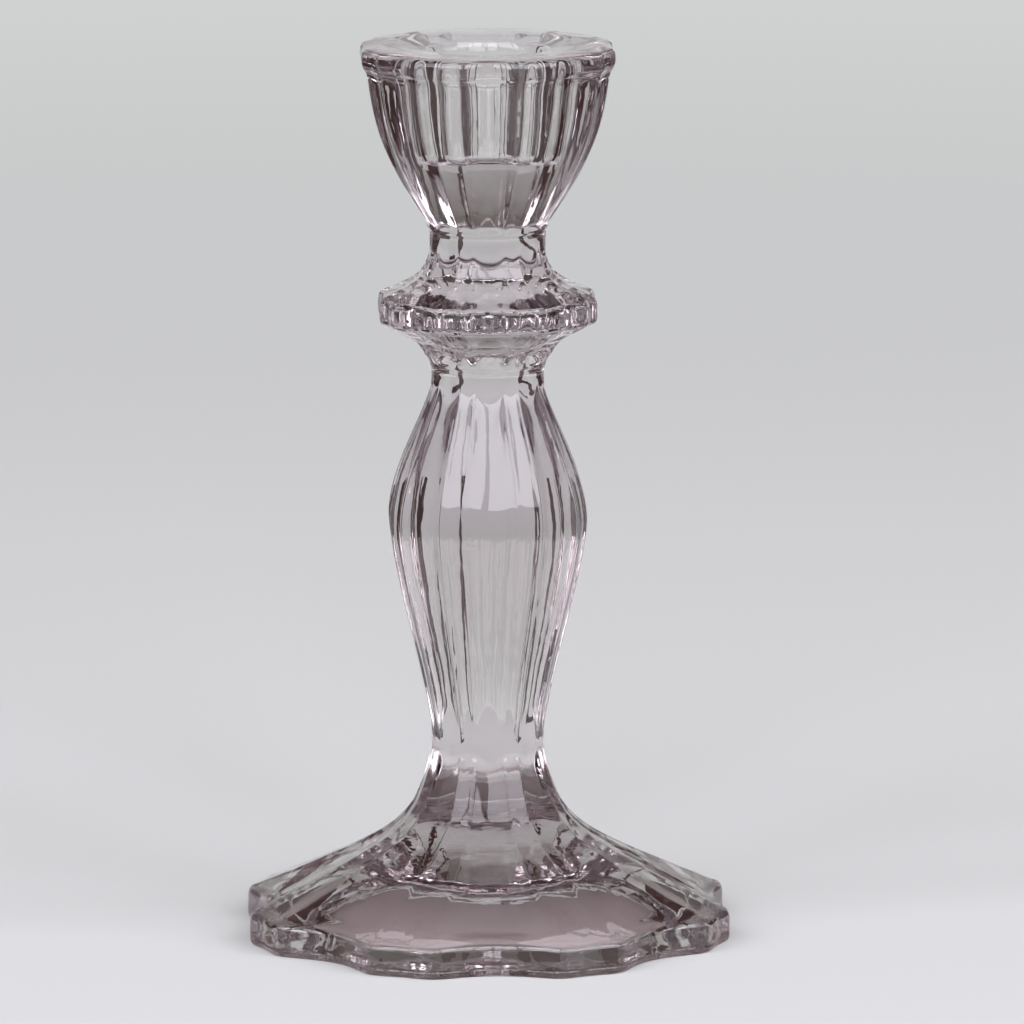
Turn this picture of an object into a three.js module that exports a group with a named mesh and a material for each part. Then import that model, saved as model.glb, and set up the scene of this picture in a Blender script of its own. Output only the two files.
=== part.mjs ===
import * as THREE from 'three';

// A pressed glass candlestick: millimetres, +Z up, origin at the centre of the underside of the foot.
// The glass is four sections that meet on level faces: foot, stem, collar and candle cup.
// All of them share one pattern round the axis: sixteen ridges in eight pairs, with a wide hollow of
// 30 degrees between the pairs and a narrow hollow of 15 degrees inside each pair.

// Heights of the level faces where the sections meet, and of the whole candlestick
const FOOT_TOP = 37;
const STEM_TOP = 118;
const COLLAR_TOP = 144;
const HEIGHT = 180;

// Radii at the joints, measured over the ridges
const FOOT_NECK_RADIUS = 11.5;
const STEM_NECK_RADIUS = 13.1;
const CUP_NECK_RADIUS = 12.6;

// Foot: its corners, the ring that it stands on and the domed hollow under it
const FOOT_RADIUS = 50.7;
const FOOT_EDGE_HEIGHT = 6.6;
const FOOT_EDGE_ROUND = 2.2;
const RING_INNER_RADIUS = 41;
const RING_STEP = 1.6;
const DOME_HEIGHT = 11.2;

// Stem: the widest point of the baluster, and the narrow plain neck at each end
const STEM_RADIUS = 20.5;
const STEM_WIDEST_HEIGHT = 86;
const NECK_RADIUS = 11.25;

// Collar: the scalloped band of the knop ring
const KNOP_RADIUS = 22.7;
const KNOP_BOTTOM = 124.4;
const KNOP_TOP = 130.2;
const KNOP_ROUND = 1.4;

// Candle cup: the lip and the tapered socket, for a dinner candle with a foot of 22 mm
const CUP_RADIUS = 25.2;
const LIP_RADIUS = 26.5;
const LIP_BOTTOM = 173.5;
const SOCKET_MOUTH_RADIUS = 11.3;
const SOCKET_FLOOR_RADIUS = 10.2;
const SOCKET_FLOOR = 159;

// The pattern round the axis, in steps of 7.5 degrees, and how deep its hollows are as shares of the radius
const SEGMENTS = 48;
const WIDE_SPACING = 45;
const WIDE_HALF_ANGLE = 15;
const NARROW_MIDDLE = 22.5;
const NARROW_HALF_ANGLE = 7.5;
const PLAIN = { wide: 0, narrow: 0 };
const FLUTED = { wide: 0.065, narrow: 0.02 };
const FOOT_EDGE = { wide: 0.105, narrow: 0.02 };

// The colour of the glass: a smoky mauve
const GLASS_COLOUR = 0xb9aeb4;

// One point of an outline: radius over the ridges, height, and the hollows at that height.
function point(radius, height, hollows = PLAIN) {
  return { radius, height, hollows };
}

// A hollow part of the way between two others.
function between(first, last, share) {
  return {
    wide: THREE.MathUtils.lerp(first.wide, last.wide, share),
    narrow: THREE.MathUtils.lerp(first.narrow, last.narrow, share),
  };
}

// A smooth stretch through the given points, cut into steps.
function sweep(points, steps) {
  const curve = new THREE.SplineCurve(points.map((p) => new THREE.Vector2(p.radius, p.height)));
  const spans = points.length - 1;
  return curve.getPoints(steps).map((place, index) => {
    const along = (index / steps) * spans;
    const span = Math.min(Math.floor(along), spans - 1);
    const hollows = between(points[span].hollows, points[span + 1].hollows, along - span);
    return point(place.x, place.y, hollows);
  });
}

// A rounded corner: a curve from one point to another that bends towards the corner between them.
function rounded(start, corner, end, steps) {
  const vectors = [start, corner, end].map((p) => new THREE.Vector2(p.radius, p.height));
  const curve = new THREE.QuadraticBezierCurve(...vectors);
  return curve.getPoints(steps).map((place, index) => {
    return point(place.x, place.y, between(start.hollows, end.hollows, index / steps));
  });
}

// How far the surface sinks at an angle, from 0 on a ridge to the full depth in the middle of a hollow.
function sink(degrees, hollows) {
  const turned = THREE.MathUtils.euclideanModulo(degrees, WIDE_SPACING);
  const fromWide = Math.min(turned, WIDE_SPACING - turned);
  if (fromWide < WIDE_HALF_ANGLE) {
    return hollows.wide * (1 - (fromWide / WIDE_HALF_ANGLE) ** 2);
  }
  const fromNarrow = Math.abs(fromWide - NARROW_MIDDLE);
  return hollows.narrow * (1 - (fromNarrow / NARROW_HALF_ANGLE) ** 2);
}

// A solid turned from an outline that starts and ends on the axis, then sunk between its ridges.
function flutedSolid(name, outline, material) {
  const profile = outline.map((p) => new THREE.Vector2(p.radius, p.height));
  const geometry = new THREE.LatheGeometry(profile, SEGMENTS);
  geometry.rotateX(Math.PI / 2);
  const position = geometry.getAttribute('position');
  for (let index = 0; index < position.count; index += 1) {
    const { radius, height, hollows } = outline[index % outline.length];
    const turn = Math.floor(index / outline.length) % SEGMENTS;
    const degrees = (turn * 360) / SEGMENTS;
    const sunk = radius * (1 - sink(degrees, hollows));
    const angle = THREE.MathUtils.degToRad(degrees);
    position.setXYZ(index, sunk * Math.sin(angle), -sunk * Math.cos(angle), height);
  }
  const mesh = new THREE.Mesh(geometry, material);
  mesh.name = name;
  return mesh;
}

function glass() {
  return new THREE.MeshStandardMaterial({ color: GLASS_COLOUR, roughness: 0.05, metalness: 0 });
}

// The foot: a hollow dome, a ring to stand on, a scalloped edge, a shallow cone and a sweep up to the stem.
function foot() {
  const wallTop = FOOT_EDGE_HEIGHT - FOOT_EDGE_ROUND;
  const outline = [
    ...sweep([
      point(0, DOME_HEIGHT),
      point(12, DOME_HEIGHT - 0.1),
      point(22, DOME_HEIGHT - 0.4),
      point(28, 9.5),
      point(33.5, 6.5),
      point(RING_INNER_RADIUS - 2.2, RING_STEP + 1.7),
    ], 9),
    point(RING_INNER_RADIUS, RING_STEP - 0.6),
    point(RING_INNER_RADIUS, 0),
    point(FOOT_RADIUS - 1, 0, FOOT_EDGE),
    point(FOOT_RADIUS, 1, FOOT_EDGE),
    ...rounded(
      point(FOOT_RADIUS, wallTop, FOOT_EDGE),
      point(FOOT_RADIUS, FOOT_EDGE_HEIGHT, FOOT_EDGE),
      point(FOOT_RADIUS - FOOT_EDGE_ROUND, FOOT_EDGE_HEIGHT + 0.5, FOOT_EDGE),
      3,
    ),
    ...sweep([
      point(40, 11, FLUTED),
      point(26, 17, FLUTED),
      point(19, 22, FLUTED),
      point(15, 27.5, FLUTED),
      point(12.5, 33, FLUTED),
      point(FOOT_NECK_RADIUS, FOOT_TOP, PLAIN),
    ], 12),
    point(0, FOOT_TOP),
  ];
  return flutedSolid('foot', outline, glass());
}

// The stem: a fluted baluster, plain where it is drawn in at both ends.
function stem() {
  const outline = [
    point(0, FOOT_TOP),
    point(FOOT_NECK_RADIUS, FOOT_TOP, PLAIN),
    ...sweep([
      point(NECK_RADIUS, FOOT_TOP + 2.5, PLAIN),
      point(13, 50, FLUTED),
      point(17, 67, FLUTED),
      point(STEM_RADIUS, STEM_WIDEST_HEIGHT, FLUTED),
      point(17.5, 99, FLUTED),
      point(12, 109.5, FLUTED),
      point(NECK_RADIUS, STEM_TOP - 4.5, PLAIN),
      point(STEM_NECK_RADIUS, STEM_TOP, PLAIN),
    ], 21),
    point(0, STEM_TOP),
  ];
  return flutedSolid('stem', outline, glass());
}

// The collar: a fluted cone under a scalloped band, and a short neck above it.
function collar() {
  const outline = [
    point(0, STEM_TOP),
    ...sweep([
      point(STEM_NECK_RADIUS, STEM_TOP, PLAIN),
      point(16, 121, FLUTED),
      point(KNOP_RADIUS - KNOP_ROUND, KNOP_BOTTOM, FLUTED),
    ], 4),
    point(KNOP_RADIUS - 0.3, KNOP_BOTTOM + KNOP_ROUND, FLUTED),
    ...rounded(
      point(KNOP_RADIUS, KNOP_TOP - 2 * KNOP_ROUND, FLUTED),
      point(KNOP_RADIUS, KNOP_TOP, FLUTED),
      point(KNOP_RADIUS - 1.5 * KNOP_ROUND, KNOP_TOP, FLUTED),
      3,
    ),
    ...sweep([
      point(16.5, 132.5, FLUTED),
      point(13, 135.5, FLUTED),
      point(11.75, 140, PLAIN),
      point(CUP_NECK_RADIUS, COLLAR_TOP, PLAIN),
    ], 6),
    point(0, COLLAR_TOP),
  ];
  return flutedSolid('collar', outline, glass());
}

// The candle cup: a fluted bell, a thick rounded lip that dips to the socket, and the socket itself.
function candleCup() {
  const outline = [
    point(0, COLLAR_TOP),
    ...sweep([
      point(CUP_NECK_RADIUS, COLLAR_TOP, PLAIN),
      point(16, 149.5, FLUTED),
      point(20.75, 158, FLUTED),
      point(23.75, 166.5, FLUTED),
      point(CUP_RADIUS, LIP_BOTTOM, FLUTED),
    ], 10),
    ...rounded(
      point(LIP_RADIUS - 0.3, LIP_BOTTOM + 2, FLUTED),
      point(LIP_RADIUS + 0.3, HEIGHT - 0.2, FLUTED),
      point(LIP_RADIUS - 2.3, HEIGHT, FLUTED),
      4,
    ),
    point(LIP_RADIUS - 5, HEIGHT, FLUTED),
    point(SOCKET_MOUTH_RADIUS + 1.5, HEIGHT - 0.8),
    point(SOCKET_MOUTH_RADIUS, HEIGHT - 2),
    point(SOCKET_FLOOR_RADIUS, SOCKET_FLOOR),
    point(0, SOCKET_FLOOR),
  ];
  return flutedSolid('candle_cup', outline, glass());
}

const candlestick = new THREE.Group();
candlestick.add(foot(), stem(), collar(), candleCup());

export default candlestick;
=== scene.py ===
# %% [markdown]
# # A pressed glass candlestick
# The real candlestick is one piece of smoky mauve glass, pressed in an iron mould. A fluted bell holds
# the candle, a scalloped knop sits under it, a fluted baluster makes the stem, and a wide scalloped
# foot, hollow underneath, carries it all. The CAD model parts that glass into four sections at its
# creases. Light sees no joint inside real glass, so the sections are shown here as one skin.

# %% Load the frame
import math

import bpy
import numpy as np
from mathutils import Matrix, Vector


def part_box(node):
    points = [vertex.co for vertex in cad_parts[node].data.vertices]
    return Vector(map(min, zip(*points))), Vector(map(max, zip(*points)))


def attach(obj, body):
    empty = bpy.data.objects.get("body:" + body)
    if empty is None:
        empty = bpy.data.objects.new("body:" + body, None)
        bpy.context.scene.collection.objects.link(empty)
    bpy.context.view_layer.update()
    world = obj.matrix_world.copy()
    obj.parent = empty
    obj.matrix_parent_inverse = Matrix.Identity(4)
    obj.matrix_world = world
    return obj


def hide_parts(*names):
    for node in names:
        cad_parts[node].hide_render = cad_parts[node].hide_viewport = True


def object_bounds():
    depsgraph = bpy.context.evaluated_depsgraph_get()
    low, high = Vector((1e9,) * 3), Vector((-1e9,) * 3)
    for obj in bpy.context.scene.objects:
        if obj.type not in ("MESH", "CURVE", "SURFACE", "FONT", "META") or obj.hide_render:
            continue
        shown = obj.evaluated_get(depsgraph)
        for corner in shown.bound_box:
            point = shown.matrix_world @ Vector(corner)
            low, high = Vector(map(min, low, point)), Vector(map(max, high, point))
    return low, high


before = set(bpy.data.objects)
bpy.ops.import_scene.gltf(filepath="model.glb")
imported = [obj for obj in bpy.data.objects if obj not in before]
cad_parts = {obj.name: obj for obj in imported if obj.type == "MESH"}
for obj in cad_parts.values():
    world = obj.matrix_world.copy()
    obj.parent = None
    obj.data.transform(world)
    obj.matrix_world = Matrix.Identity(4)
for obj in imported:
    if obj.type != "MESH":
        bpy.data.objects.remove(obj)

CAD_LOW, CAD_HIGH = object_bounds()
SECTIONS = ("foot", "stem", "collar", "candle_cup")
MM = 0.001
print("CAD box in mm:", [round(value / MM, 1) for value in (*CAD_LOW, *CAD_HIGH)])

# %% [markdown]
# The camera stands a little to the left of the front and looks slightly down, from far enough away
# for the foot and the lip to be drawn at nearly the same scale. It aims a few millimetres to the right
# of the axis and below the middle of the height, which sets the candlestick in its place in the view.

# %% Camera
VIEW_AZIMUTH = math.radians(-2.2)
VIEW_ELEVATION = math.radians(10.2)
VIEW_DISTANCE = 2.28
AIM_RIGHT = 4.9 * MM
AIM_DOWN = 4.6 * MM
SENSOR_WIDTH = 36.0
LENS = 400.0


def place_camera():
    """The camera looks along the line that leaves the aim point at the view's azimuth and elevation."""
    back = Vector((math.sin(VIEW_AZIMUTH) * math.cos(VIEW_ELEVATION),
                   -math.cos(VIEW_AZIMUTH) * math.cos(VIEW_ELEVATION),
                   math.sin(VIEW_ELEVATION)))
    turn = (-back).to_track_quat("-Z", "Y")
    right = turn @ Vector((1, 0, 0))
    up = turn @ Vector((0, 1, 0))
    aim = (CAD_LOW + CAD_HIGH) / 2 + AIM_RIGHT * right - AIM_DOWN * up
    data = bpy.data.cameras.new("camera")
    data.lens = LENS
    data.sensor_width = SENSOR_WIDTH
    data.clip_end = 100.0
    camera = bpy.data.objects.new("camera", data)
    camera.rotation_mode = "QUATERNION"
    camera.rotation_quaternion = turn
    camera.location = aim + VIEW_DISTANCE * back
    bpy.context.scene.collection.objects.link(camera)
    bpy.context.scene.camera = camera
    print("camera at", [round(value, 3) for value in camera.location])


place_camera()

# %% [markdown]
# ## The outline of the glass
# A mould maker turns the hollow mould first, as if the candlestick were plain and round, and cuts the
# flutes afterwards. The skin is made the same way: an outline is swept round the axis, then it sinks
# in between its ridges. The outline is drawn as a few corners, and a smooth curve runs inside them.
# Each corner is a share of its section's radius over the ridges and of its section's height, so that
# it follows the CAD, with the kind of hollow that is cut there.

# %% Section sizes
RIDGE_ANGLE = math.radians(15)


def section(node):
    """Radius over the ridges, bottom and height of a CAD section. No ridge lies on the X axis: the
    outermost one is 15 degrees off it, so the half width is divided by the cosine of 15 degrees."""
    low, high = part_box(node)
    return (high.x - low.x) / 2 / math.cos(RIDGE_ANGLE), low.z, high.z - low.z


for name in SECTIONS:
    print(name, "radius, bottom and height in mm:", [round(value / MM, 2) for value in section(name)])

# %% [markdown]
# A hollow has three numbers. The first two are the depths of the wide and the narrow hollows, as shares
# of the radius. The third says how far the flame that polished the glass has rounded the ridges, from
# none on the stem to fully on the foot's corners, which stand out into the flame.

# %% Kinds of hollow
PLAIN = (0.000, 0.000, 1.0)
FLUTED = (0.060, 0.020, 0.0)
DEEP = (0.080, 0.030, 0.0)
SHALLOW = (0.045, 0.015, 0.0)
SCALLOPED = (0.110, 0.028, 1.0)
EASED = (0.080, 0.020, 0.5)
CREASED = (0.120, 0.060, 0.0)
BANDED = (0.076, 0.030, 0.3)
ROLLED = (0.052, 0.018, 0.6)
FADING = (0.015, 0.005, 1.0)


def on_section(node, corners):
    """Turns shares into metres. Each row is a radius, a height and the three numbers of the hollow."""
    radius, bottom, height = section(node)
    return np.array([(across * radius, bottom + up * height, *hollow) for across, up, hollow in corners])


# %% [markdown]
# ### Foot
# The foot stands on a flat ring. Inside the ring the glass is hollowed out to a flat dome, so that it
# doesn't rock and cools evenly. Outside, the edge is a short wall with rounded shoulders, cut into
# sixteen corners. A shallow cone climbs from it and turns up into the neck, and ends at a crease.

# %% Foot outline
UNDERSIDE = on_section("foot", [
    (0.00, 0.30, PLAIN),
    (0.30, 0.30, PLAIN),
    (0.54, 0.30, PLAIN),
    (0.79, 0.07, PLAIN),
    (0.82, 0.00, PLAIN),
])
FOOT_EDGE = on_section("foot", [
    (0.90, 0.00, EASED),
    (0.97, 0.00, SCALLOPED),
    (1.00, 0.00, SCALLOPED),
    (1.00, 0.08, SCALLOPED),
    (1.00, 0.17, SCALLOPED),
    (0.95, 0.19, SCALLOPED),
    (0.90, 0.22, EASED),
])
FOOT_TOP = on_section("foot", [
    (0.90, 0.22, EASED),
    (0.55, 0.43, FLUTED),
    (0.33, 0.62, FLUTED),
    (0.25, 0.86, SHALLOW),
    (0.23, 1.00, SHALLOW),
])

# %% [markdown]
# ### Stem
# The baluster is drawn in to a plain round neck at both ends. Its flutes run out before they reach
# the necks, where the cutter that made them left the mould's wall.

# %% Stem outline
STEM = on_section("stem", [
    (0.55, 0.01, DEEP),
    (0.55, 0.08, DEEP),
    (1.00, 0.52, FLUTED),
    (1.00, 0.66, FLUTED),
    (0.55, 0.91, DEEP),
    (0.55, 0.96, PLAIN),
    (0.60, 0.99, PLAIN),
])

# %% [markdown]
# ### Collar
# A fluted cone opens out from a crease to the knop, a thin band with the same sixteen corners as the
# foot. Above the band the glass falls away to the narrow neck that carries the cup.

# %% Collar outline
COLLAR = on_section("collar", [
    (0.59, 0.01, CREASED),
    (0.62, 0.08, CREASED),
    (0.80, 0.17, FLUTED),
    (0.96, 0.24, FLUTED),
    (1.00, 0.27, BANDED),
    (1.00, 0.43, BANDED),
    (0.94, 0.46, FLUTED),
    (0.75, 0.53, FLUTED),
    (0.60, 0.61, FLUTED),
    (0.53, 0.75, DEEP),
    (0.51, 0.87, PLAIN),
    (0.51, 0.93, PLAIN),
    (0.54, 0.99, PLAIN),
])

# %% [markdown]
# ### Candle cup
# The bell swells from its crease to a thick lip that rolls outwards. The lip's face is nearly level
# and dips into the socket, which tapers a little, because a plunger pressed it and had to come out.

# %% Cup and socket outline
CUP = on_section("candle_cup", [
    (0.47, 0.01, SHALLOW),
    (0.66, 0.21, FLUTED),
    (0.84, 0.47, FLUTED),
    (0.92, 0.68, FLUTED),
    (0.95, 0.86, FLUTED),
    (1.00, 0.90, ROLLED),
    (1.00, 0.98, ROLLED),
    (0.95, 1.00, ROLLED),
    (0.80, 1.00, FADING),
    (0.50, 0.98, PLAIN),
    (0.44, 0.98, PLAIN),
    (0.43, 0.94, PLAIN),
])
SOCKET = on_section("candle_cup", [
    (0.43, 0.94, PLAIN),
    (0.40, 0.55, PLAIN),
    (0.39, 0.42, PLAIN),
    (0.33, 0.42, PLAIN),
    (0.00, 0.42, PLAIN),
])

# %% [markdown]
# The curve inside the corners is a quadratic B-spline. It leaves the first corner, touches every inner
# side in the side's middle, and ends in the last corner. So it has no kinks of its own, and the glass
# has creases only where one section's corners end and the next one's begin.

# %% Smooth curve inside the corners
def smooth(corners, step):
    """Between two middles a and b the curve bends towards the corner c that lies between them. Its
    points are (1 - t)^2 a + 2 t (1 - t) c + t^2 b, with t from 0 to 1 in about equal steps."""
    middles = (corners[1:-2] + corners[2:-1]) / 2
    starts = np.concatenate([corners[:1], middles])
    ends = np.concatenate([middles, corners[-1:]])
    bends = []
    for start, corner, end in zip(starts, corners[1:-1], ends):
        length = np.hypot(*(corner - start)[:2]) + np.hypot(*(end - corner)[:2])
        count = max(2, round(length / step))
        t = (np.arange(count) / count)[:, None]
        bends.append((1 - t) ** 2 * start + 2 * t * (1 - t) * corner + t**2 * end)
    return np.concatenate([*bends, corners[-1:]])


def joined(stretches):
    """The stretches one after another. A point that two neighbours share is kept once."""
    rows = np.concatenate([smooth(corners, step) for corners, step in stretches])
    gaps = np.hypot(*np.diff(rows[:, :2], axis=0).T)
    return rows[np.append(True, gaps > 0.01 * MM)]


OUTLINE = joined((
    (UNDERSIDE, 1.5 * MM),
    (FOOT_EDGE, 0.5 * MM),
    (FOOT_TOP, 0.95 * MM),
    (STEM, 1.3 * MM),
    (COLLAR, 0.62 * MM),
    (CUP, 0.75 * MM),
    (SOCKET, 1.6 * MM),
))
print("outline:", len(OUTLINE), "rings, widest", round(OUTLINE[:, 0].max() / MM, 1), "mm")

# %% [markdown]
# ## The flutes
# Eight wide hollows face the eight directions and eight narrow ones lie between them. Each is a shallow
# arc between two ridges. Fire polishing, a lick of flame on the finished piece, rounds the ridges. It is
# imitated by averaging the pattern round the axis, a little for a sharp ridge and more for a round one.

# %% Flute pattern
COLUMNS = 288
FINE_COLUMNS = 2880
WIDE_SPACING = 45.0
WIDE_HALF = 15.0
NARROW_HALF = 7.5
SHARP_RIDGE = 0.7
ROUND_RIDGE = 2.2


def hollow(from_middle, half):
    """One minus the square of the distance from the hollow's middle, counted in half widths."""
    return np.clip(1 - (from_middle / half) ** 2, 0, None)


def polished(pattern, spread):
    """The pattern averaged round the axis with a bell curve of that spread in degrees."""
    waves = np.arange(FINE_COLUMNS // 2 + 1)
    fade = np.exp(-0.5 * (waves * math.radians(spread)) ** 2)
    return np.fft.irfft(np.fft.rfft(pattern) * fade, FINE_COLUMNS)[:: FINE_COLUMNS // COLUMNS]


def flute_patterns():
    """Wide and narrow hollows, sharp and rounded, sampled at every column."""
    degrees = np.arange(FINE_COLUMNS) * 360 / FINE_COLUMNS
    turned = np.mod(degrees, WIDE_SPACING)
    from_wide = np.minimum(turned, WIDE_SPACING - turned)
    wide = hollow(from_wide, WIDE_HALF)
    narrow = hollow(from_wide - WIDE_SPACING / 2, NARROW_HALF)
    return {(name, spread): polished(pattern, spread)
            for name, pattern in (("wide", wide), ("narrow", narrow))
            for spread in (SHARP_RIDGE, ROUND_RIDGE)}


PATTERNS = flute_patterns()
print("flute columns:", COLUMNS, "deepest", round(float(PATTERNS["wide", SHARP_RIDGE].max()), 3))

# %% [markdown]
# ### Plain necks
# At the three necks a plain round core stands in the glass. Where a flute would cut deeper than the
# core, the core shows instead, so the flutes end in scallops round the neck, as a cutter leaves them.

# %% Necks
NECKS = (
    ("stem", 0.55, 0.03, 14 * MM),
    ("stem", 0.55, 0.94, 9 * MM),
    ("collar", 0.51, 0.90, 16 * MM),
)
CORE_FILLET = 0.08 * MM
CORE_SLOPE = 0.03


def plain_core(height):
    """Radius of the plain round core: each neck's radius, growing slowly away from the neck's middle."""
    core = 0 * height
    for node, share_of_radius, share_of_height, reach in NECKS:
        radius, bottom, tall = section(node)
        away = np.abs(height - bottom - share_of_height * tall)
        core = np.where(away < reach, share_of_radius * radius + CORE_SLOPE * away, core)
    return core


for name, share, _, _ in NECKS:
    print("plain neck on the", name, "with a radius of", round(share * section(name)[0] / MM, 1), "mm")

# %% [markdown]
# ## One skin of glass
# The skin is a grid: its columns run along the outline and its rings go round the axis. Both ends of
# the outline lie on the axis, so each end closes in one point, and the glass is one watertight body.

# %% Skin
def skin_positions():
    """Radius = outline radius x (1 - wide depth x wide pattern - narrow depth x narrow pattern), where
    the patterns are mixed from sharp to rounded. The angle starts at the front, -Y, and turns to +X.
    A fillet, core + f log(1 + exp((radius - core) / f)), leads from the flutes over to the core."""
    radius, height, wide, narrow, soft = OUTLINE.T[:, :, None]
    mixed = {name: (1 - soft) * PATTERNS[name, SHARP_RIDGE] + soft * PATTERNS[name, ROUND_RIDGE]
             for name in ("wide", "narrow")}
    sunk = radius * (1 - wide * mixed["wide"] - narrow * mixed["narrow"])
    core = np.minimum(plain_core(height), radius)
    filleted = core + CORE_FILLET * np.logaddexp(0, (sunk - core) / CORE_FILLET)
    sunk = np.where(core > 0, filleted, sunk)
    angle = np.arange(COLUMNS) * 2 * np.pi / COLUMNS
    return np.stack([sunk * np.sin(angle), -sunk * np.cos(angle), height + 0 * sunk], axis=-1)


def grid_mesh(name, rings):
    """Quads between neighbouring rings, and triangles from the two end points on the axis."""
    count, columns = rings.shape[:2]
    body = rings[1:-1].reshape(-1, 3)
    points = np.concatenate([rings[0, :1], body, rings[-1, :1]])
    ring = 1 + np.arange(count - 2)[:, None] * columns
    here = np.arange(columns)[None, :]
    after = (here + 1) % columns
    quads = np.stack([ring[:-1] + here, ring[:-1] + after, ring[1:] + after, ring[1:] + here], axis=-1)
    last = len(points) - 1
    start = np.stack([0 * here, 1 + after, 1 + here], axis=-1).reshape(-1, 3)
    end = np.stack([last + 0 * here, ring[-1] + here, ring[-1] + after], axis=-1).reshape(-1, 3)
    mesh = bpy.data.meshes.new(name)
    mesh.from_pydata(points.tolist(), [], quads.reshape(-1, 4).tolist() + start.tolist() + end.tolist())
    mesh.shade_smooth()
    mesh.update()
    return mesh


def add_piece(name, mesh, material, nodes):
    """A shown piece that rides on the frame and stands for CAD nodes."""
    piece = bpy.data.objects.new(name, mesh)
    bpy.context.scene.collection.objects.link(piece)
    mesh.materials.append(material)
    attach(piece, "root")
    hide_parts(*nodes)
    return piece


GLASS_MESH = grid_mesh("glass_body", skin_positions())
print("glass skin:", sum(len(face.vertices) - 2 for face in GLASS_MESH.polygons), "triangles")

# %% [markdown]
# ## Shader maths
# A small class wraps a node's output, so that a material reads as sums and products.

# %% Socket wrapper
class Value:
    """An output of a shader node that can be added and multiplied in a Python expression."""

    def __init__(self, shader, socket):
        self.shader = shader
        self.socket = socket

    def math(self, operation, other):
        return self.shader.node("ShaderNodeMath", {"operation": operation}, {0: self, 1: other})

    def __add__(self, other):
        return self.math("ADD", other)

    def __mul__(self, other):
        return self.math("MULTIPLY", other)

    __radd__ = __add__
    __rmul__ = __mul__


class Shader:
    """Adds nodes to a node tree."""

    def __init__(self, tree):
        self.tree = tree
        tree.nodes.clear()

    def node(self, kind, settings=None, inputs=None, output=0):
        """A node of that kind: its settings are set first, then the values or links of its inputs."""
        node = self.tree.nodes.new(kind)
        for name, setting in (settings or {}).items():
            if name == "stops":
                for index, (place, colour) in enumerate(setting):
                    stops = node.color_ramp.elements
                    stop = stops[index] if index < len(stops) else stops.new(place)
                    stop.position = place
                    stop.color = colour
            else:
                setattr(node, name, setting)
        for name, given in (inputs or {}).items():
            if isinstance(given, Value):
                self.tree.links.new(given.socket, node.inputs[name])
            else:
                node.inputs[name].default_value = given
        return Value(self, node.outputs[output]) if node.outputs else None


# %% [markdown]
# ## Smoky mauve glass
# Pressed glass is clear and coloured right through: thin places look nearly white and long paths through
# it look brown and mauve. So the colour is not painted on the surface. Light loses it on the way
# through the volume, where red gets through best and green worst. The surface is fire polished, but
# it carries the mould's faint ripple, and the ring that it stands on is scuffed.

# %% Glass material
GLASS_IOR = 1.52
ABSORPTION_DENSITY = 24.0
ABSORPTION_COLOUR = (0.500, 0.415, 0.440, 1.0)
RIPPLE_HEIGHT = 0.05 * MM
BROAD_RIPPLE = 4.0
BROAD_BUMPS = 110.0
SMALL_RIPPLE = 0.9
SMALL_BUMPS = 380.0
DRAWN_OUT = 0.45
RING_RIPPLE = 5.0
RING_BUMPS = 620.0
RING_HEIGHT = 1.6 * MM
RING_RADIUS = 40.5 * MM
SCUFF_BUMPS = 2600.0
SCUFF_HEIGHT = 0.5 * MM
SCUFF_ROUGHNESS = 0.5
HIGHEST_ROUGHNESS = 0.03


def noise(shader, place, scale, detail):
    """A noise, with about that many bumps to the metre."""
    return shader.node("ShaderNodeTexNoise", {}, {"Vector": place, "Scale": scale, "Detail": detail})


def step_between(shader, value, start, end):
    """Zero at the start, one at the end and a smooth step in between."""
    return shader.node("ShaderNodeMapRange", {"interpolation_type": "SMOOTHSTEP"}, {
        "Value": value, "From Min": start, "From Max": end, "To Min": 0.0, "To Max": 1.0})


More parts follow.
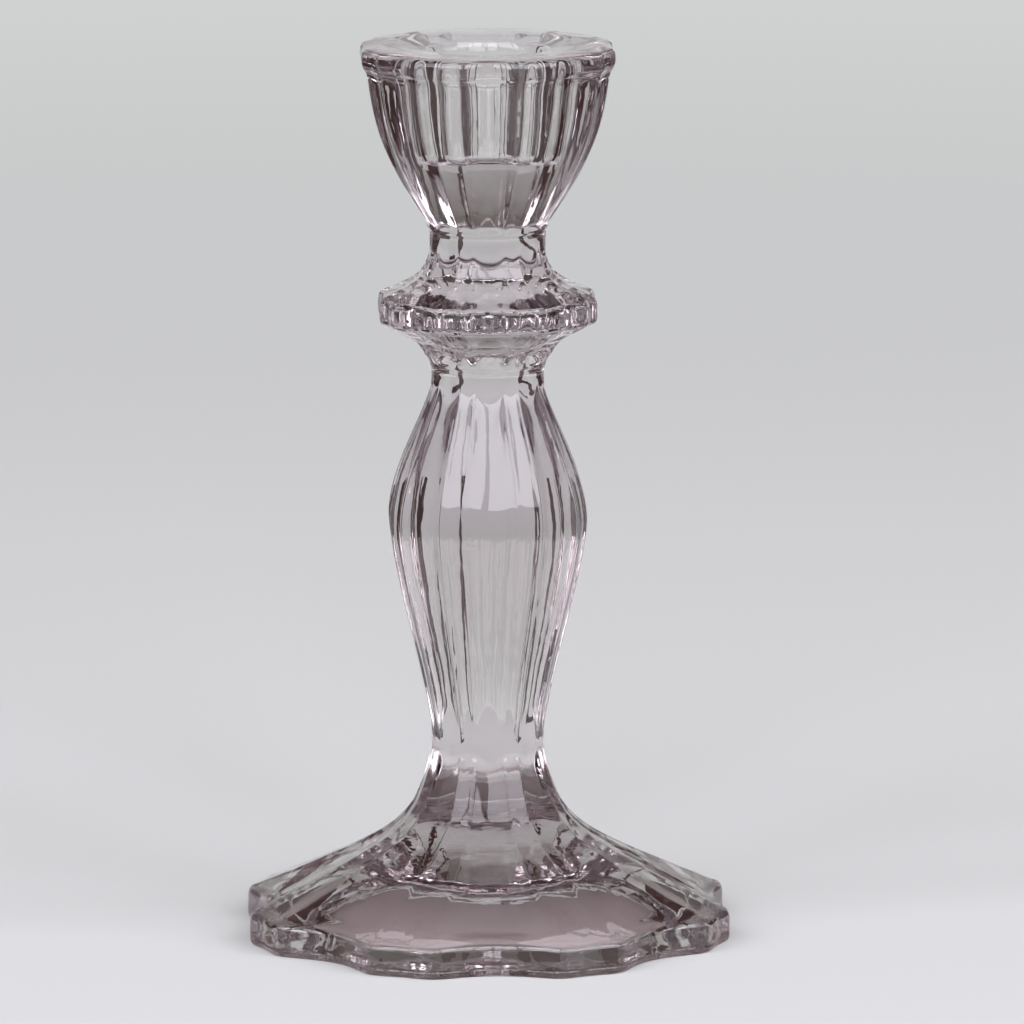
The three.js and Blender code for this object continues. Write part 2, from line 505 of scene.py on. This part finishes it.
def smoky_glass():
    """Clear smooth glass over a tinted volume. Ripple = a broad noise + a small noise, drawn out
    upwards + a fine noise round the foot's edge, low on its outside. Together they are a bump of
    hundredths of a millimetre. Scuffs = a very fine noise in the roughness of the lowest half
    millimetre."""
    material = bpy.data.materials.new("smoky_glass")
    material.use_nodes = True
    shader = Shader(material.node_tree)
    place = shader.node("ShaderNodeTexCoord", output="Object")
    height = shader.node("ShaderNodeSeparateXYZ", {}, {0: place}, output="Z")
    level = shader.node("ShaderNodeVectorMath", {"operation": "MULTIPLY"}, {0: place, 1: (1.0, 1.0, 0.0)})
    radius = shader.node("ShaderNodeVectorMath", {"operation": "LENGTH"}, {0: level}, output="Value")
    drawn = shader.node("ShaderNodeMapping", {}, {"Vector": place, "Scale": (1.0, 1.0, DRAWN_OUT)})
    small = noise(shader, drawn, SMALL_BUMPS, 2.0)
    below = step_between(shader, height, RING_HEIGHT, 0.7 * RING_HEIGHT)
    outside = step_between(shader, radius, RING_RADIUS, 1.03 * RING_RADIUS)
    relief = (noise(shader, place, BROAD_BUMPS, 1.0) * BROAD_RIPPLE + small * SMALL_RIPPLE
              + below * outside * noise(shader, place, RING_BUMPS, 2.0) * RING_RIPPLE)
    bump = shader.node("ShaderNodeBump", {}, {"Height": relief, "Distance": RIPPLE_HEIGHT})
    scuffs = step_between(shader, height, SCUFF_HEIGHT, 0.0) * noise(shader, place, SCUFF_BUMPS, 3.0)
    haze = shader.node("ShaderNodeMapRange", {}, {
        "Value": small, "From Min": 0.35, "From Max": 0.75, "To Min": 0.0, "To Max": HIGHEST_ROUGHNESS})
    glass = shader.node("ShaderNodeBsdfPrincipled", {}, {
        "Base Color": (1.0, 1.0, 1.0, 1.0), "Transmission Weight": 1.0, "IOR": GLASS_IOR,
        "Roughness": haze + scuffs * SCUFF_ROUGHNESS, "Normal": bump})
    tint = shader.node("ShaderNodeVolumeAbsorption", {}, {
        "Color": ABSORPTION_COLOUR, "Density": ABSORPTION_DENSITY})
    shader.node("ShaderNodeOutputMaterial", {}, {"Surface": glass, "Volume": tint})
    return material


glass_body = add_piece("glass_body", GLASS_MESH, smoky_glass(), SECTIONS)
print(glass_body.name, "is made of", glass_body.data.materials[0].name)

# %% [markdown]
# ## Studio
# Glass shows its surroundings more than itself. It stands on a pale floor in a bright room with a dark
# ceiling. The floor is matt near the glass. Further out it turns into a painted glow, a light of its own
# in the colour of the room's horizon, so that no horizon cuts through the glass and the floor near the foot
# stays darker than the glow.

# %% Floor
FLOOR_RADIUS = 30.0
FLOOR_LEVEL = -0.02 * MM
DISC_SIDES = 96
FLOOR_COLOUR = (0.62, 0.63, 0.62, 1.0)
# The far floor is painted light: it glows by itself in this colour, which is also the room's horizon
# colour.
HORIZON_GLOW = (0.640, 0.655, 0.650, 1.0)
GLOW_START = 0.35
GLOW_END = 1.6


def paper(shader, colour):
    """A matt surface."""
    return shader.node("ShaderNodeBsdfPrincipled", {}, {
        "Base Color": colour, "Roughness": 0.9, "Specular IOR Level": 0.1})


def studio_material(name, colour, haze=None):
    """Matt paint. Given a haze colour, it turns into a painted glow of that colour, a light the surface
    gives by itself, between the glow's start and end distances from the middle.
    """
    material = bpy.data.materials.new(name)
    material.use_nodes = True
    shader = Shader(material.node_tree)
    surface = paper(shader, colour)
    if haze:
        place = shader.node("ShaderNodeTexCoord", output="Object")
        distance = shader.node("ShaderNodeVectorMath", {"operation": "LENGTH"}, {0: place}, output="Value")
        amount = shader.node("ShaderNodeMapRange", {"interpolation_type": "SMOOTHSTEP"}, {
            "Value": distance, "From Min": GLOW_START, "From Max": GLOW_END})
        # Painted glow: past its start distance the floor shines by itself instead of being lit by the
        # lamps.
        glow = shader.node("ShaderNodeEmission", {}, {"Color": haze, "Strength": 1.0})
        surface = shader.node("ShaderNodeMixShader", {}, {0: amount, 1: surface, 2: glow})
    shader.node("ShaderNodeOutputMaterial", {}, {"Surface": surface})
    return material


def stage_mesh(name, points, faces, material):
    """A piece of studio equipment."""
    mesh = bpy.data.meshes.new(name)
    mesh.from_pydata(np.asarray(points).tolist(), [], faces)
    mesh.materials.append(material)
    thing = bpy.data.objects.new(name, mesh)
    bpy.context.scene.collection.objects.link(thing)
    return thing


def disc(name, radius, level, material):
    """One flat face: its rim is a circle, radius x (cos angle, sin angle), drawn with DISC_SIDES points."""
    angle = np.linspace(0, 2 * np.pi, DISC_SIDES, endpoint=False)
    rim = np.stack([radius * np.cos(angle), radius * np.sin(angle), 0 * angle + level], axis=-1)
    return stage_mesh(name, rim, [list(range(DISC_SIDES))], material)


disc("pale_floor", FLOOR_RADIUS, FLOOR_LEVEL, studio_material("pale_floor", FLOOR_COLOUR, HORIZON_GLOW))
print("floor:", FLOOR_RADIUS, "m across its radius, lost in haze from", GLOW_END, "m")

# %% [markdown]
# ### Dark boards and painted shade under the foot
# Clear glass on a pale floor has no edges of its own. A glass photographer stands dark boards round the
# piece, out of the picture, and each rim bends light from one of them into the view, which draws the
# dark lines. A brown disc under the foot is painted shade: it stands for the floor in the foot's shadow
# and darkens the foot's front. Boards and disc are seen in the glass alone: they cast no shadow and the
# camera doesn't see them.

# %% Dark boards
BOARDS = (
    (78.0, 0.050, 0.0),
    (119.0, 0.130, 0.0),
    (140.0, 0.070, 0.130),
    (160.0, 0.014, 0.0),
    (202.0, 0.014, 0.0),
    (219.0, 0.070, 0.130),
    (240.0, 0.130, 0.0),
    (284.0, 0.050, 0.0),
)
BOARD_DISTANCE = 0.20
BOARD_HEIGHT = 0.35
BOARD_COLOUR = (0.040, 0.020, 0.018, 1.0)
# The brown disc under the foot is painted shade, seen only through the glass: it stands for the floor in
# the foot's shadow.
SHADE_DISC_RADIUS = 58 * MM
SHADE_DISC_LEVEL = -0.01 * MM
UNDERFOOT_SHADE_COLOUR = (0.50, 0.42, 0.41, 1.0)


def only_through_glass(thing):
    """Leaves the thing to be seen in the glass alone: it lights and shades nothing."""
    thing.visible_camera = False
    thing.visible_diffuse = False
    thing.visible_shadow = False


def dark_board(angle, width, low, material):
    """An upright rectangle that faces the candlestick, from a low edge to BOARD_HEIGHT."""
    turn = math.radians(angle)
    middle = np.array([math.sin(turn), -math.cos(turn), 0]) * BOARD_DISTANCE
    side = np.array([math.cos(turn), math.sin(turn), 0]) * width / 2
    foot = middle + (0, 0, low)
    head = middle + (0, 0, BOARD_HEIGHT)
    points = [foot - side, foot + side, head + side, head - side]
    only_through_glass(stage_mesh("dark_board", points, [[0, 1, 2, 3]], material))


board_paint = studio_material("board", BOARD_COLOUR)
for angle, width, low in BOARDS:
    dark_board(angle, width, low, board_paint)
# Painted shade under the foot, seen in the glass alone.
only_through_glass(disc("underfoot_shade", SHADE_DISC_RADIUS, SHADE_DISC_LEVEL, studio_material("underfoot_shade", UNDERFOOT_SHADE_COLOUR)))
print("boards:", len(BOARDS), "at", BOARD_DISTANCE, "m, and a mat of", round(2 * SHADE_DISC_RADIUS / MM), "mm")

# %% [markdown]
# ### Windows
# Tall windows stand round the front in an arc, and their bars and the walls between them cut the
# reflections on the stem and in the cup into panels. Each window is an area light, a little blue.

# %% Windows
PANES = ((-66.0, 14.0), (-41.0, 27.0), (-10.0, 28.0), (18.0, 16.0), (47.0, 34.0), (75.0, 12.0))
PANE_DISTANCE = 2.7
SILL = 0.75
HEAD = 3.8
DAYLIGHT = (0.94, 0.93, 1.0)
WINDOW_RADIANCE = 4.8


def window_pane(angle, width):
    """An upright light. Its power is radiance x area x pi, so it looks equally bright at any size."""
    turn = math.radians(angle)
    data = bpy.data.lights.new("window_pane", "AREA")
    data.shape = "RECTANGLE"
    data.size = 2 * PANE_DISTANCE * math.tan(math.radians(width / 2))
    data.size_y = HEAD - SILL
    data.color = DAYLIGHT
    data.energy = WINDOW_RADIANCE * data.size * data.size_y * math.pi
    light = bpy.data.objects.new("window_pane", data)
    light.location = (math.sin(turn) * PANE_DISTANCE, -math.cos(turn) * PANE_DISTANCE, (HEAD + SILL) / 2)
    light.rotation_euler = (math.radians(90), 0, turn)
    light.visible_camera = False
    bpy.context.scene.collection.objects.link(light)


for angle, width in PANES:
    window_pane(angle, width)
print("windows:", len(PANES), "at", PANE_DISTANCE, "m")

# %% [markdown]
# ### Room
# The walls catch the windows' light near the floor and lose it towards a dark ceiling. So the shoulders
# that face upwards show a darker room than the glass that looks straight out.

# %% Room
ROOM = (
    (0.0, HORIZON_GLOW),
    (0.25, (0.55, 0.56, 0.55, 1.0)),
    (0.55, (0.24, 0.22, 0.21, 1.0)),
    (1.0, (0.06, 0.05, 0.045, 1.0)),
)
MOST_BOUNCES = 32
GLOSSY_BOUNCES = 16


def bright_room():
    """The world, by how far a direction rises: pale near the horizon, where the walls catch the
    windows' light, and dark above."""
    world = bpy.data.worlds.new("room")
    bpy.context.scene.world = world
    world.use_nodes = True
    shader = Shader(world.node_tree)
    direction = shader.node("ShaderNodeTexCoord", output="Generated")
    rise = shader.node("ShaderNodeSeparateXYZ", {}, {0: direction}, output="Z")
    ramp = shader.node("ShaderNodeValToRGB", {"stops": ROOM}, {"Fac": rise})
    light = shader.node("ShaderNodeBackground", {}, {"Color": ramp, "Strength": 1.0})
    shader.node("ShaderNodeOutputWorld", {}, {"Surface": light})


bright_room()

scene = bpy.context.scene
scene.view_settings.view_transform = "Standard"
scene.cycles.max_bounces = MOST_BOUNCES
scene.cycles.transmission_bounces = MOST_BOUNCES
scene.cycles.glossy_bounces = GLOSSY_BOUNCES
print("view transform:", scene.view_settings.view_transform, "bounces:", scene.cycles.max_bounces)
